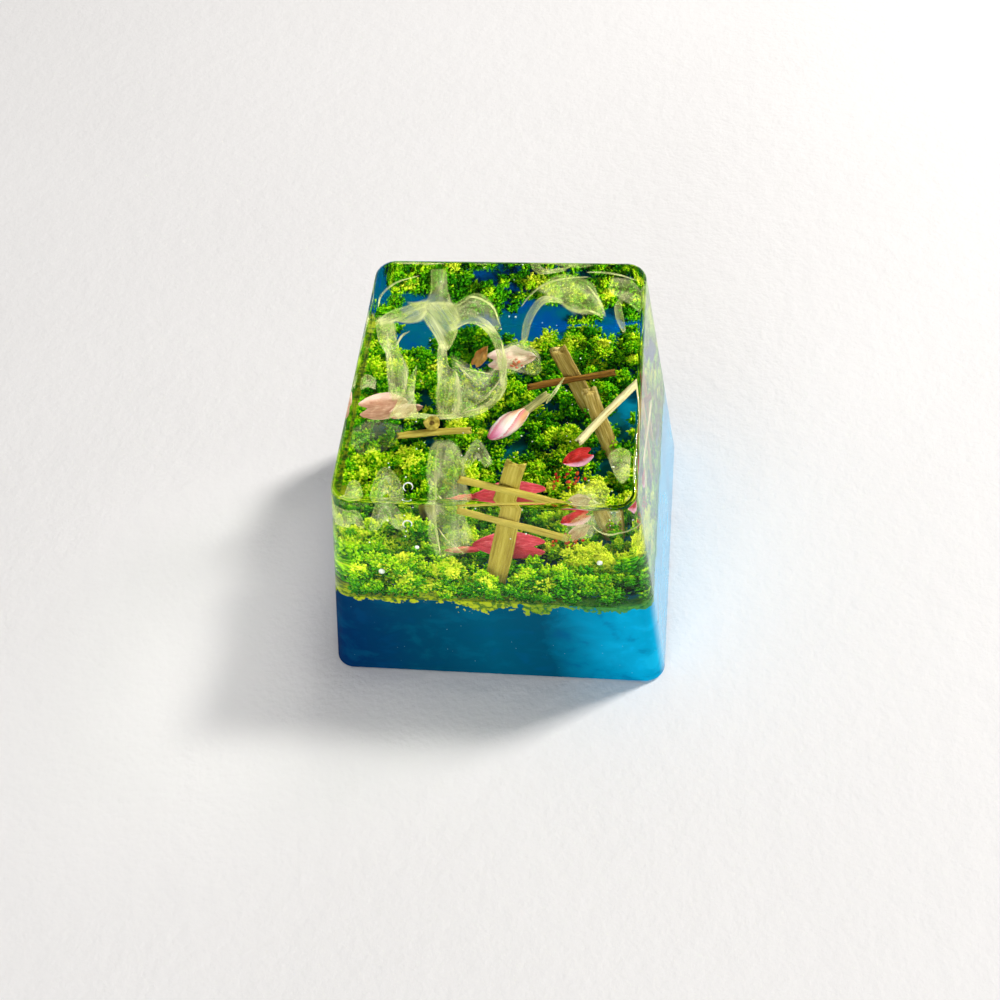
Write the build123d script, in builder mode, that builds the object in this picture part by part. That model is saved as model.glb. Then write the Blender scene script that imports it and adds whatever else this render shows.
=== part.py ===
"""Artisan keycap: clear resin cast over a blue resin base, with wooden crosses, petals,
moss and white veils set into it. The base is hollow below and carries the switch socket.

The origin is at the middle of the rim, on the surface the cap stands on. +Z is up,
-Y is the side that faces the typist and +X is to the right.
"""

import os
from math import radians, tan
from typing import NamedTuple

from build123d import *

# All lengths are in millimetres and all angles in degrees.

# Outside of the cap
rim_width = 18.2  # left to right, at the rim
rim_depth = 18.2  # front to back, at the rim
crown_width = 14.8  # left to right, level with the back edge of the top
crown_front = 7.5  # from the middle to the front face, at that level
crown_back = 8.25  # from the middle to the back face, at that level
front_height = 12.95  # front edge of the sloping top
back_height = 14.75  # back edge of the sloping top
corner_radius = 1.1  # upright corners
top_edge_radius = 0.3
rim_edge_cut = 0.15

# Blue base and its hollow
bed_height = 5.9  # top of the blue resin, where the scene stands
wall = 1.5  # skirt, at the rim
floor_thickness = 1.2  # blue resin between the hollow and the bed
hollow_draft = 3.0  # lean of the hollow's walls
hollow_corner_radius = 1.0

# Socket for the switch
stem_diameter = 5.6
stem_recess = 0.6  # mouth of the socket, above the rim
slot_length = 4.1
slot_wide = 1.35  # slot that runs left to right
slot_narrow = 1.2  # slot that runs front to back
slot_depth = 4.0
slot_lead_in = 0.2

# Clear resin left between the outside and what is set into it
skin = 0.4

# Wooden crosses
plant_depth = 0.45  # how far a stake goes into the blue resin
bar_width = 0.42
bar_thickness = 0.4
wood_corner_cut = 0.1

# Petals and bud
petal_thickness = 0.14
petal_curl_radius = 2.4
petal_side = (0.5, 0.8)  # its broad end, as shares of the cleft's depth and of half the width
petal_shoulder = (0.08, 0.66)
petal_lobe = (0.0, 0.4)
bud_diameter = 1.05
bud_length = 2.6
bud_point = 1.4  # length of its tapering tip
bud_taper = 0.7  # share of its radius lost along the tip
bud_end_cut = 0.14
bud_sides = 7  # facets round the bud and its stem
bud_stem_diameter = 0.5
bud_stem_length = 1.6

# Moss, with what is inside one clump given as shares of the clump's radius and height
moss_sides = 5  # facets round one tuft
moss_turn = 25  # from one clump to the next
moss_core = 0.72  # radius of the tall tuft in the middle
moss_slope = (0.5, 0.5)  # how far in and how far down a tuft's crown slopes
side_tufts = 2
side_tuft_offset = 0.52
side_tuft_radius = 0.55
side_tuft_height = 0.74

# White veils
veil_thickness = 0.08
veil_bend_radius = 0.7


class Cross(NamedTuple):
    """A stake planted in the bed, with a bar laid across its front."""

    name: str
    foot: tuple  # where the stake enters the bed
    lean: tuple  # to the right, and to the back
    turn: float  # of the bar, seen from above
    stake_section: tuple  # width and thickness
    stake_length: float
    bar_length: float
    bar_height: float  # up the stake
    bar_shift: float  # of the bar's middle, along the bar
    bar_tilt: float


class Petal(NamedTuple):
    """A curled petal that lies on the moss."""

    name: str
    middle: tuple  # left to right, front to back, and above the bed
    turn: float  # of its tip, seen from above
    pitch: float  # of its tip, upwards
    roll: float  # about its own length
    length: float
    width: float
    notch: float  # depth of the cleft in its broad end


class Clump(NamedTuple):
    """A clump of moss on the bed."""

    middle: tuple
    radius: float
    height: float


class Veil(NamedTuple):
    """A thin curtain of white resin, drawn in plan and carried upwards."""

    name: str
    route: tuple
    level: float  # of its lower edge, above the bed
    height: float
    lean: tuple  # to the right, and to the back


crosses = (
    Cross("cross_front", (0.13, -6.64), (13, 24.7), -1, (1.1, 0.5), 5.95, 5.8, 4.35, 0.3, -3.5),
    Cross("cross_left", (-3.98, 1.3), (7.6, -28.8), 8, (0.8, 0.8), 5.85, 3.8, 5.3, 0.1, 2.5),
    Cross("cross_back", (4.83, 2.19), (-23.4, 22.1), 15, (0.9, 0.5), 5.45, 4.7, 3.35, -0.1, -15.5),
    Cross("cross_right", (5.99, -0.41), (-14.8, 17.1), 47, (0.8, 0.5), 5.3, 4.85, 3.45, 0.45, 15),
)

petals = (
    Petal("petal_front", (0.9, -4.1, 1.85), 178, -8, 62, 3.9, 1.6, 0.7),
    Petal("petal_right", (4.3, -2.0, 2.4), 205, 8, 25, 1.7, 1.15, 0.3),
    Petal("petal_left", (-6.4, 0.8, 3.0), 12, 4, 30, 2.8, 1.8, 0.5),
    Petal("petal_back", (0.2, 4.5, 2.9), 8, 4, 35, 2.8, 1.6, 0.4),
    Petal("petal_corner", (4.7, -5.6, 3.9), 30, 32, 60, 1.5, 0.8, 0.2),
)

bud_tip = (-0.45, -1.1, 2.75)  # left to right, front to back, and above the bed
bud_turn = 47  # from its tip to its stem, seen from above
bud_pitch = 2

moss = (
    Clump((-6.6, -6.5), 1.2, 2.5),
    Clump((-4.5, -6.9), 1.25, 2.6),
    Clump((-2.4, -6.8), 1.1, 2.3),
    Clump((-0.6, -7.2), 0.75, 1.6),
    Clump((2.1, -6.9), 1.1, 1.8),
    Clump((4.2, -6.8), 1.15, 2.1),
    Clump((5.7, -7.2), 0.7, 1.8),
    Clump((7.0, -6.4), 1.0, 2.6),
    Clump((-6.7, -4.6), 0.9, 1.9),
    Clump((-6.5, -2.5), 1.4, 2.4),
    Clump((-4.4, -2.1), 1.1, 2.6),
    Clump((-1.3, -2.5), 1.25, 2.0),
    Clump((-2.0, 0.9), 1.2, 2.3),
    Clump((2.5, -2.3), 1.2, 2.0),
    Clump((5.2, -4.0), 1.35, 2.5),
    Clump((6.8, -4.7), 0.8, 2.2),
    Clump((7.0, -1.7), 0.9, 2.0),
    Clump((3.1, -0.1), 1.15, 2.1),
    Clump((-6.8, 4.9), 1.15, 2.5),
    Clump((-4.8, 4.7), 1.1, 2.2),
    Clump((-3.0, 3.3), 1.0, 1.9),
    Clump((-2.4, 7.0), 1.1, 2.3),
    Clump((0.5, 2.7), 1.15, 2.0),
    Clump((1.7, 6.3), 1.25, 2.5),
    Clump((4.3, 6.6), 1.35, 2.4),
    Clump((5.4, 4.4), 1.15, 1.9),
    Clump((6.9, 6.6), 1.0, 2.2),
)

veils = (
    Veil("veil_left", ((-6.9, 5.6), (-6.2, 3.4), (-4.9, 3.3), (-4.3, 1.4)), 3.1, 1.5, (-20, 12)),
    Veil("veil_back", ((-5.6, 6.9), (-3.9, 5.9), (-2.5, 7.4), (-0.8, 5.9)), 3.4, 2.0, (8, -14)),
    Veil("veil_right", ((0.6, 5.0), (1.4, 7.2), (3.6, 7.3), (5.2, 6.2)), 3.5, 1.9, (10, -16)),
    Veil("veil_front", ((-4.3, -2.8), (-3.4, -4.2), (-2.0, -4.3), (-1.7, -5.7)), 2.7, 2.0, (-10, 14)),
    Veil("veil_side", ((5.7, -2.3), (6.6, -3.2), (7.3, -2.2)), 3.2, 1.2, (6, 10)),
)

# Level of the hollow's roof, above the rim
hollow_height = bed_height - floor_thickness


def sloping_top():
    """The plane of the top, through its front and back edges."""
    front = rim_depth / 2 + (crown_front - rim_depth / 2) * front_height / back_height
    rise = back_height - front_height
    run = crown_back + front
    return Plane(origin=(0, crown_back, back_height), x_dir=(1, 0, 0), z_dir=(0, -rise, run))


def upright_edges(builder):
    """The edges that run from the bottom of a block to its top."""
    return builder.edges().filter_by(lambda edge: abs(edge.tangent_at(0.5).Z) > 0.5)


def cap_block(inset):
    """The whole cap as one block, drawn in by inset at its sides and top."""
    spare = (rim_width - crown_width) / 2
    with BuildPart() as block:
        Wedge(
            xsize=rim_width - 2 * inset,
            ysize=back_height,
            zsize=rim_depth - 2 * inset,
            xmin=spare,
            xmax=rim_width - 2 * inset - spare,
            zmin=rim_depth / 2 - crown_back,
            zmax=rim_depth / 2 + crown_front - 2 * inset,
            rotation=(90, 0, 0),
            align=(Align.CENTER, Align.MIN, Align.CENTER),
        )
        split(bisect_by=sloping_top().offset(-inset), keep=Keep.BOTTOM)
        fillet(upright_edges(block), corner_radius - inset)
    return block.part


def on_bed(place, above=0.0):
    """A point given from the middle of the bed."""
    return Vector(place[0], place[1], bed_height + above)


def cross_plane(cross):
    """The plane across a stake at the bed: its x runs with the bar and its z up the stake."""
    lean_right, lean_back = (tan(radians(angle)) for angle in cross.lean)
    along_bar = Vector(1, 0, 0).rotate(Axis.Z, cross.turn)
    return Plane(origin=on_bed(cross.foot), x_dir=along_bar, z_dir=(lean_right, lean_back, 1))


def wooden_stake(cross):
    """A flat split of wood, from below the bed to its tip."""
    with BuildPart() as stake:
        with BuildSketch(cross_plane(cross).offset(-plant_depth)):
            outline = Rectangle(*cross.stake_section)
            chamfer(outline.vertices(), wood_corner_cut)
        extrude(amount=cross.stake_length + plant_depth)
    return stake.part


def wooden_bar(cross):
    """A thin split of wood whose back lies flat on the front of its stake."""
    plane = cross_plane(cross)
    out_of_stake = -(cross.stake_section[1] + bar_thickness) / 2
    middle = plane.from_local_coords((cross.bar_shift, out_of_stake, cross.bar_height))
    along = plane.x_dir.rotate(Axis((0, 0, 0), plane.y_dir), -cross.bar_tilt)
    with BuildPart() as bar:
        with BuildSketch(Plane(origin=middle, x_dir=plane.y_dir, z_dir=along)):
            outline = Rectangle(bar_thickness, bar_width)
            chamfer(outline.vertices(), wood_corner_cut)
        extrude(amount=cross.bar_length / 2, both=True)
    return bar.part


def curled_petal(petal):
    """A cleft petal cut from a thin round shell, so that it curls across its width."""
    rest = Plane(origin=on_bed(petal.middle, petal.middle[2]))
    plane = rest.rotated((petal.roll, -petal.pitch, petal.turn))
    half_length = petal.length / 2
    half_width = petal.width / 2
    tip = (half_length, 0)
    side, shoulder, lobe = (
        (deep * petal.notch - half_length, wide * half_width)
        for deep, wide in (petal_side, petal_shoulder, petal_lobe)
    )
    cleft = (petal.notch - half_length, 0)
    axle = plane.origin - plane.z_dir * petal_curl_radius
    with BuildPart() as leaf:
        with BuildSketch(plane.offset(-petal_curl_radius)):
            with BuildLine():
                ThreePointArc(tip, (0, half_width), side)
                ThreePointArc(side, shoulder, lobe)
                Line(lobe, cleft)
                mirror(about=Plane.XZ)
            make_face()
        extrude(amount=2 * petal_curl_radius)
        with BuildSketch(Plane(origin=axle, x_dir=plane.y_dir, z_dir=plane.x_dir)):
            Circle(petal_curl_radius + petal_thickness / 2)
            Circle(petal_curl_radius - petal_thickness / 2, mode=Mode.SUBTRACT)
        extrude(amount=petal.length, both=True, mode=Mode.INTERSECT)
        split(bisect_by=plane.offset(-petal_curl_radius), keep=Keep.TOP)
    return leaf.part


def bud_plane():
    """The plane across the bud's tip, with its z running from the tip to the stem."""
    along = Vector(1, 0, 0).rotate(Axis.Y, -bud_pitch).rotate(Axis.Z, bud_turn)
    return Plane(origin=on_bed(bud_tip, bud_tip[2]), x_dir=(0, 0, 1), z_dir=along)


def flower_bud():
    """A closed bud, pointed at its tip and blunt where its stem joins."""
    plane = bud_plane()
    radius = bud_diameter / 2
    with BuildPart() as bud:
        with BuildSketch(plane):
            RegularPolygon(radius, bud_sides)
        extrude(amount=bud_length)
        along = Axis(plane.origin, plane.z_dir)
        tip = bud.faces().sort_by(along)[0]
        chamfer(tip.edges(), radius * bud_taper, bud_point, reference=tip)
        end = bud.faces().sort_by(along)[-1]
        chamfer(end.edges(), bud_end_cut)
    return bud.part


def bud_stem():
    """The cut stem, butted against the blunt end of the bud."""
    with BuildPart() as stem:
        with BuildSketch(bud_plane().offset(bud_length)):
            RegularPolygon(bud_stem_diameter / 2, bud_sides)
        extrude(amount=bud_stem_length)
    return stem.part


def moss_tuft(middle, radius, height, turn):
    """One faceted tuft that stands on the bed, with a sloping crown."""
    with BuildPart() as tuft:
        with BuildSketch(Plane.XY.offset(bed_height)):
            with Locations(middle):
                RegularPolygon(radius, moss_sides, rotation=turn)
        extrude(amount=height)
        crown = tuft.faces().sort_by(Axis.Z)[-1]
        chamfer(crown.edges(), radius * moss_slope[0], height * moss_slope[1], reference=crown)
    return tuft.part


def moss_clump(clump, turn):
    """A tall tuft with lower ones leaning on it all round."""
    with BuildPart() as tufts:
        add(moss_tuft(clump.middle, clump.radius * moss_core, clump.height, turn))
        for number in range(side_tufts):
            bearing = turn + 360 / side_tufts * number
            away = Vector(clump.radius * side_tuft_offset, 0).rotate(Axis.Z, bearing)
            place = (clump.middle[0] + away.X, clump.middle[1] + away.Y)
            radius = clump.radius * side_tuft_radius
            add(moss_tuft(place, radius, clump.height * side_tuft_height, bearing))
    return tufts.part


def white_veil(veil):
    """A thin bent curtain that leans as it rises."""
    lean_right, lean_back = (tan(radians(angle)) for angle in veil.lean)
    with BuildPart() as curtain:
        with BuildSketch(Plane.XY.offset(bed_height + veil.level)):
            with BuildLine():
                FilletPolyline(*veil.route, radius=veil_bend_radius)
            trace(line_width=veil_thickness)
        extrude(amount=veil.height, dir=(lean_right, lean_back, 1))
    return curtain.part


def reaching(shape, others):
    """Those of the others whose boxes meet the shape's box."""
    box = shape.bounding_box()
    found = []
    for other in others:
        reach = other.bounding_box()
        across = min(box.max.X, reach.max.X) - max(box.min.X, reach.min.X)
        along = min(box.max.Y, reach.max.Y) - max(box.min.Y, reach.min.Y)
        upward = min(box.max.Z, reach.max.Z) - max(box.min.Z, reach.min.Z)
        if min(across, along, upward) > 0:
            found.append(other)
    return found


def set_in(name, shape):
    """Keeps a piece inside the clear skin and clear of the pieces set before it."""
    cutters = reaching(shape, pieces.values())
    with BuildPart() as piece:
        add(shape)
        add(inside, mode=Mode.INTERSECT)
        if cutters:
            add(cutters, mode=Mode.SUBTRACT)
    pieces[name] = piece.part


cap = cap_block(0)
inside = cap_block(skin)

# What is set into the resin, each piece clear of those before it
pieces = {}
for cross in crosses:
    set_in(cross.name + "_stake", wooden_stake(cross))
    set_in(cross.name + "_bar", wooden_bar(cross))
set_in("flower_bud", flower_bud())
set_in("bud_stem", bud_stem())
for petal in petals:
    set_in(petal.name, curled_petal(petal))
for veil in veils:
    set_in(veil.name, white_veil(veil))
for number, clump in enumerate(moss, start=1):
    set_in(f"moss_{number}", moss_clump(clump, moss_turn * number))

# Blue base: solid below the bed, hollow underneath, with the socket in the middle
hollow_width = rim_width - 2 * wall
hollow_depth = rim_depth - 2 * wall
hollow_lean = hollow_height * tan(radians(hollow_draft))
with BuildPart() as hollow_block:
    Wedge(
        xsize=hollow_width,
        ysize=hollow_height,
        zsize=hollow_depth,
        xmin=hollow_lean,
        xmax=hollow_width - hollow_lean,
        zmin=hollow_lean,
        zmax=hollow_depth - hollow_lean,
        rotation=(90, 0, 0),
        align=(Align.CENTER, Align.MIN, Align.CENTER),
    )
    fillet(upright_edges(hollow_block), hollow_corner_radius)
with BuildPart() as blue_base:
    add(cap)
    split(bisect_by=Plane.XY.offset(bed_height), keep=Keep.BOTTOM)
    chamfer(blue_base.faces().sort_by(Axis.Z)[0].edges(), rim_edge_cut)
    add(hollow_block.part, mode=Mode.SUBTRACT)
    with BuildSketch(Plane.XY.offset(stem_recess)):
        Circle(stem_diameter / 2)
    extrude(amount=hollow_height - stem_recess)
    with BuildSketch(Plane.XY.offset(stem_recess)) as cross_slot:
        Rectangle(slot_length, slot_wide)
        Rectangle(slot_narrow, slot_length)
    extrude(amount=slot_depth, mode=Mode.SUBTRACT)
    slot_mouth = blue_base.faces().filter_by(Plane.XY).group_by(Axis.Z)[1].face()
    chamfer(slot_mouth.inner_wires()[0].edges(), slot_lead_in)
    add(reaching(blue_base.part, pieces.values()), mode=Mode.SUBTRACT)

# Clear resin: everything above the bed that the other pieces leave
with BuildPart() as clear_body:
    add(cap)
    fillet(clear_body.faces().sort_by(Axis.Z)[-1].edges(), top_edge_radius)
    split(bisect_by=Plane.XY.offset(bed_height), keep=Keep.TOP)
    add(list(pieces.values()), mode=Mode.SUBTRACT)

pieces["blue_base"] = blue_base.part
pieces["clear_body"] = clear_body.part

os.makedirs("parts", exist_ok=True)
for name, piece in pieces.items():
    piece.label = name
    export_step(piece, f"parts/{name}.step")
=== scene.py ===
"""Artisan keycap: clear resin over a pearly blue base, with moss, wooden crosses, petals, a bud and white
veils cast inside. Shapes are worked out in millimetres from the middle of the rim, with +Z up and -Y to the
typist."""

import bpy
import numpy as np
from mathutils import Matrix, Vector


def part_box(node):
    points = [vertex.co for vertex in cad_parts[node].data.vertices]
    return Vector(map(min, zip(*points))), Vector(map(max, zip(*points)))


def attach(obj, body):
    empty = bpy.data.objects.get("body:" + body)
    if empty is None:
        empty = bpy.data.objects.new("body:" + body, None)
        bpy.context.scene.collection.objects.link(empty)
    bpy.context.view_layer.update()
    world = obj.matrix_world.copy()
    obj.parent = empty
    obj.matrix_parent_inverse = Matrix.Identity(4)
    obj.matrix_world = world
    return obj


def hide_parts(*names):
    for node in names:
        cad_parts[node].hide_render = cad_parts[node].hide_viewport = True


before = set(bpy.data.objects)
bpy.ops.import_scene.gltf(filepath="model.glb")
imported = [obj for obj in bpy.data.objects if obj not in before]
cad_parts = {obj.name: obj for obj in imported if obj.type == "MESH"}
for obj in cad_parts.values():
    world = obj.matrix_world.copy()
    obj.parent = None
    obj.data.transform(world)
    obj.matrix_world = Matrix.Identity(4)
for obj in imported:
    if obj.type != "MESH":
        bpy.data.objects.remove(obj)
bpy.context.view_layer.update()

MM = 0.001
FULL_TURN = 2 * np.pi
chance = np.random.default_rng(11)

# Outside of the cap, as it was cast
RIM = 9.1  # from the middle to each side, at the rim
CROWN_SIDE = 7.4  # from the middle to the left and right faces, level with the back edge of the top
CROWN_FRONT = 7.5
CROWN_BACK = 8.25
FRONT_HEIGHT = 12.95
BACK_HEIGHT = 14.75
CORNER = 1.1
TOP_EDGE = 0.3
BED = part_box("blue_base")[1].z / MM

# Slopes of the side, front and back faces, and of the top
SIDE_SLOPE = (RIM - CROWN_SIDE) / BACK_HEIGHT
FRONT_SLOPE = (RIM - CROWN_FRONT) / BACK_HEIGHT
BACK_SLOPE = (RIM - CROWN_BACK) / BACK_HEIGHT
TOP_FRONT = RIM - FRONT_SLOPE * FRONT_HEIGHT
TOP_SLOPE = (BACK_HEIGHT - FRONT_HEIGHT) / (CROWN_BACK + TOP_FRONT)


class Socket:
    """An output socket of a finish. Sums on it add Math nodes."""

    def __init__(self, finish, output):
        self.finish = finish
        self.output = output

    def sum(self, operation, first, second):
        """One Math node."""
        return self.finish.node("Math", {"operation": operation}, {0: first, 1: second})

    def __add__(self, other):
        return self.sum("ADD", self, other)

    def __radd__(self, other):
        return self.sum("ADD", other, self)

    def __sub__(self, other):
        return self.sum("SUBTRACT", self, other)

    def __rsub__(self, other):
        return self.sum("SUBTRACT", other, self)

    def __mul__(self, other):
        return self.sum("MULTIPLY", self, other)

    def __rmul__(self, other):
        return self.sum("MULTIPLY", other, self)

    def __abs__(self):
        return self.sum("ABSOLUTE", self, 0.0)

    def at_least(self, other):
        """The larger of two numbers."""
        return self.sum("MAXIMUM", self, other)


class Finish:
    """A material, or the world, made of nodes."""

    def __init__(self, name, store=bpy.data.materials):
        self.owner = store.new(name)
        self.owner.use_nodes = True
        self.tree = self.owner.node_tree
        self.tree.nodes.clear()

    def node(self, kind, settings=None, sockets=None, output=0):
        """Makes one node: settings first, a ramp's stops among them, then its sockets' values or links."""
        node = self.tree.nodes.new("ShaderNode" + kind)
        for name, value in (settings or {}).items():
            if name == "stops":
                elements = node.color_ramp.elements
                for spot, _ in value[2:]:
                    elements.new(spot)
                for element, (spot, colour) in zip(elements, value):
                    element.position = spot
                    element.color = (*colour, 1)
            else:
                setattr(node, name, value)
        for name, value in (sockets or {}).items():
            socket = node.inputs[name]
            if isinstance(value, Socket):
                self.tree.links.new(value.output, socket)
            else:
                socket.default_value = (*value, 1) if socket.type == "RGBA" else value
        return Socket(self, node.outputs[output]) if len(node.outputs) else node

    def place(self):
        """Where a point is on the object, in millimetres."""
        metres = self.node("TexCoord", output="Object")
        return self.node("VectorMath", {"operation": "SCALE"}, {0: metres, "Scale": 1 / MM})

    def mark(self, name, output="Vector"):
        """An attribute that a piece's own mesh carries."""
        return self.node("Attribute", {"attribute_name": name}, output=output)

    def outputs(self, socket, *names):
        """More outputs of the node that a socket belongs to."""
        return tuple(Socket(self, socket.output.node.outputs[name]) for name in names)

    def parts(self, vector):
        """The three numbers in a vector."""
        return self.outputs(self.node("SeparateXYZ", sockets={0: vector}), 0, 1, 2)

    def stretch(self, vector, scale):
        """A vector with each of its numbers scaled."""
        return self.node("VectorMath", {"operation": "MULTIPLY"}, {0: vector, 1: scale})

    def noise(self, vector, scale, detail=3.0, roughness=0.55, distortion=0.0):
        """A cloudy number from 0 to 1."""
        values = {"Vector": vector, "Scale": scale, "Detail": detail, "Roughness": roughness,
                  "Distortion": distortion}
        return self.node("TexNoise", sockets=values)

    def ramp(self, value, *stops):
        """A colour read off a ramp of (place, colour) stops."""
        return self.node("ValToRGB", {"stops": stops}, {0: value})

    def fade(self, value, low, high, start=0.0, end=1.0):
        """A number that goes smoothly from start to end while value goes from low to high."""
        limits = {"Value": value, "From Min": low, "From Max": high, "To Min": start, "To Max": end}
        return self.node("MapRange", {"interpolation_type": "SMOOTHSTEP"}, limits)

    def blend(self, share, first, second, way="MIX"):
        """Two colours mixed."""
        settings = {"data_type": "RGBA", "blend_type": way, "clamp_factor": True}
        return self.node("Mix", settings, {0: share, 6: first, 7: second}, output=2)

    def relief(self, height, depth):
        """A normal that follows a height of so many millimetres."""
        return self.node("Bump", sockets={"Height": height, "Distance": depth * MM})

    def shader(self, **sockets):
        """The principled shader, with its sockets named by words joined with underscores."""
        spelt = {"ior": "IOR", "coat_ior": "Coat IOR", "specular_ior_level": "Specular IOR Level"}
        named = {spelt.get(name, name.replace("_", " ").title()): value for name, value in sockets.items()}
        return self.node("BsdfPrincipled", sockets=named)

    def done(self, surface, end="OutputMaterial"):
        """Links the surface to the output, and gives the material or the world."""
        self.node(end, sockets={"Surface": surface})
        return self.owner

    def painted(self, **sockets):
        """Ends the finish with the principled shader."""
        return self.done(self.shader(**sockets))


def clear_resin():
    """Polished clear resin, faintly wavy, that lets lamp light through to what is set into it."""
    finish = Finish("clear_resin")
    place = finish.place()
    waves = finish.noise(place, 0.35, 2.0) + 0.08 * finish.noise(place, 3.0, 2.0)
    tint = finish.blend(finish.noise(place, 0.2), (0.98, 1.0, 0.985), (1.0, 1.0, 1.0))
    glass = finish.shader(base_color=tint, roughness=0.0, transmission_weight=1.0, ior=1.5,
                          specular_tint=(0.12, 0.12, 0.12), normal=finish.relief(waves, 0.03))
    passing = finish.node("BsdfTransparent", sockets={"Color": (0.95, 0.96, 0.95)})
    lamp_ray = finish.node("LightPath", output="Is Shadow Ray")
    return finish.done(finish.node("MixShader", sockets={0: lamp_ray, 1: glass, 2: passing}))


def blue_resin():
    """Blue resin with soft pearly clouds: navy at the left, teal in the middle, bright cyan at the right.
    The clouds are the resin's own, but the rise to bright cyan at the right, with the paler clouds there,
    is a painted glow of light coming through the resin from that side. Small pale pearl flecks are partly
    their own pale colour and partly painted glints, and the right wall carries a faint painted reflection.
    It shines only where air meets it, and not on the bed, where the clear resin is cast on it. Moss shows
    through the top of its walls in a ragged fringe, with painted shade in the gaps between its sprigs."""
    finish = Finish("blue_resin")
    place = finish.place()
    across, along, up = finish.parts(place)
    drift = finish.noise(place, 0.13, 2.0, 0.5)
    cloud = finish.noise(finish.stretch(place, (1.0, 1.0, 1.5)), 0.5, 4.0, 0.6, 0.35)
    # Painted glow: brighter towards the right, as light coming through the resin from that side; the drift
    # and clouds are the resin's own
    shade = finish.fade(across + 5.0 * (drift - 0.5) + 2.2 * (cloud - 0.5), -10.5, 10.0)
    body = finish.ramp(
        shade,
        (0.0, (0.0, 0.022, 0.1)),
        (0.25, (0.0, 0.062, 0.126)),
        (0.5, (0.0, 0.095, 0.175)),
        (0.75, (0.0, 0.076, 0.145)),
        (1.0, (0.0, 0.4, 0.7)),
    )
    bed = finish.fade(up, BED - 0.04, BED - 0.015)
    royal = finish.blend(bed * finish.fade(along, -1.0, 5.0) * 0.85, body, (0.0, 0.075, 0.36))
    stain = bed * finish.fade(along, 5.5, 3.0) * finish.fade(cloud, 0.58, 0.5) * 0.75
    stained = finish.blend(stain, royal, (0.004, 0.085, 0.03))
    teal = finish.blend(bed * finish.fade(cloud, 0.47, 0.6) * 0.8, stained, (0.0, 0.11, 0.15))
    # Paler pearly clouds only towards the right: the resin's own clouds, lifted there as part of the painted
    # glow
    pale = finish.fade(cloud, 0.5, 0.66) * finish.fade(across, 5.5, 8.5, 0.04, 0.75)
    pearly = finish.blend(pale, teal, (0.005, 0.53, 0.86))
    dim = finish.fade(cloud, 0.46, 0.3) * finish.fade(across, -2.0, 7.0, 0.15, 0.5)
    deep = finish.blend(dim, pearly, (0.0, 0.1, 0.28))
    # Pale pearl flecks: partly their own pale colour, partly painted glints
    glitter = finish.node("TexVoronoi", {"feature": "F1"}, {"Vector": place, "Scale": 1.7}, "Distance")
    with_painted_glints = finish.blend(finish.fade(glitter, 0.055, 0.03) * 0.35, deep, (0.4, 0.75, 0.9))
    fringe = finish.noise(place, 0.75, 3.0)
    sprig = finish.noise(place, 3.4, 3.0, 0.6)
    dip = 0.25 * finish.fade(across * across, 20.0, 4.0) + finish.fade(across, -8.0, 2.0, -0.25, 0.0)
    low = up + dip + 3.0 * (fringe - 0.5) + 1.3 * (sprig - 0.5)
    mossy = finish.fade(low, BED - 0.2, BED - 0.12) * finish.fade(along, 8.3, 7.6) * (1 - bed)
    rightward = finish.fade(across + 4.0 * (fringe - 0.5), -1.0, 6.0)
    green = finish.blend(rightward, (0.56, 0.66, 0.01), (0.08, 0.28, 0.008))
    # Painted shade: dark gaps between the fringe's sprigs
    fringe_with_painted_gaps = finish.blend(finish.fade(sprig, 0.56, 0.42) * 0.85, green, (0.02, 0.14, 0.01))
    edge = abs(across).at_least(-1 * along)
    margin = bed * finish.fade(edge + 1.2 * (fringe - 0.5), 7.1, 7.6)
    # Painted reflection: a faint pale glare on the right wall, as that face catches the bright room at a
    # slant
    right_wall_painted_glare = finish.fade(across + SIDE_SLOPE * up, RIM - 0.25, RIM - 0.03) * (1 - bed)
    satin = finish.fade(along, -6.8, -8.0) * (1 - right_wall_painted_glare)
    with_painted_glare = finish.blend(right_wall_painted_glare * 0.12, with_painted_glints, (0.46, 0.6, 0.8))
    colour = finish.blend(0.9 * (mossy + margin), with_painted_glare, fringe_with_painted_gaps)
    gloss = 0.16 + 0.16 * finish.noise(place, 1.4, 4.0)
    dents = finish.noise(place, 0.5, 3.0) + 0.1 * finish.noise(place, 6.0, 2.0)
    coat = (1 - 0.93 * satin) * (1 - bed)
    return finish.painted(base_color=colour, roughness=gloss, specular_ior_level=0.0, coat_weight=coat,
                          coat_roughness=0.06, coat_ior=1.45, normal=finish.relief(dents, 0.04))


def wood(name, pale, middle, dark):
    """Raw split wood: fibres and darker streaks run along the piece's own length, round a dark pith."""
    finish = Finish(name)
    grain = finish.mark("grain")
    across, deep, _ = finish.parts(grain)
    fibres = finish.noise(finish.stretch(grain, (9.0, 9.0, 0.55)), 1.0, 5.0, 0.6)
    bands = finish.noise(finish.stretch(grain, (2.4, 2.4, 0.22)), 1.0, 3.0, 0.5, 0.4)
    colour = finish.ramp(0.55 * fibres + 0.45 * bands, (0.34, dark), (0.5, middle), (0.66, pale))
    flecks = finish.fade(finish.noise(finish.stretch(grain, (7.0, 7.0, 1.6)), 1.0, 4.0), 0.62, 0.72)
    worn = finish.blend(flecks * 0.5, colour, dark)
    pith = finish.fade(across * across + deep * deep, 0.03, 0.012)
    ended = finish.blend(pith * 0.85, worn, (0.07, 0.03, 0.008))
    return finish.painted(base_color=ended, roughness=0.62 + 0.25 * fibres, specular_ior_level=0.1,
                          normal=finish.relief(fibres, 0.05))


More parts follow.
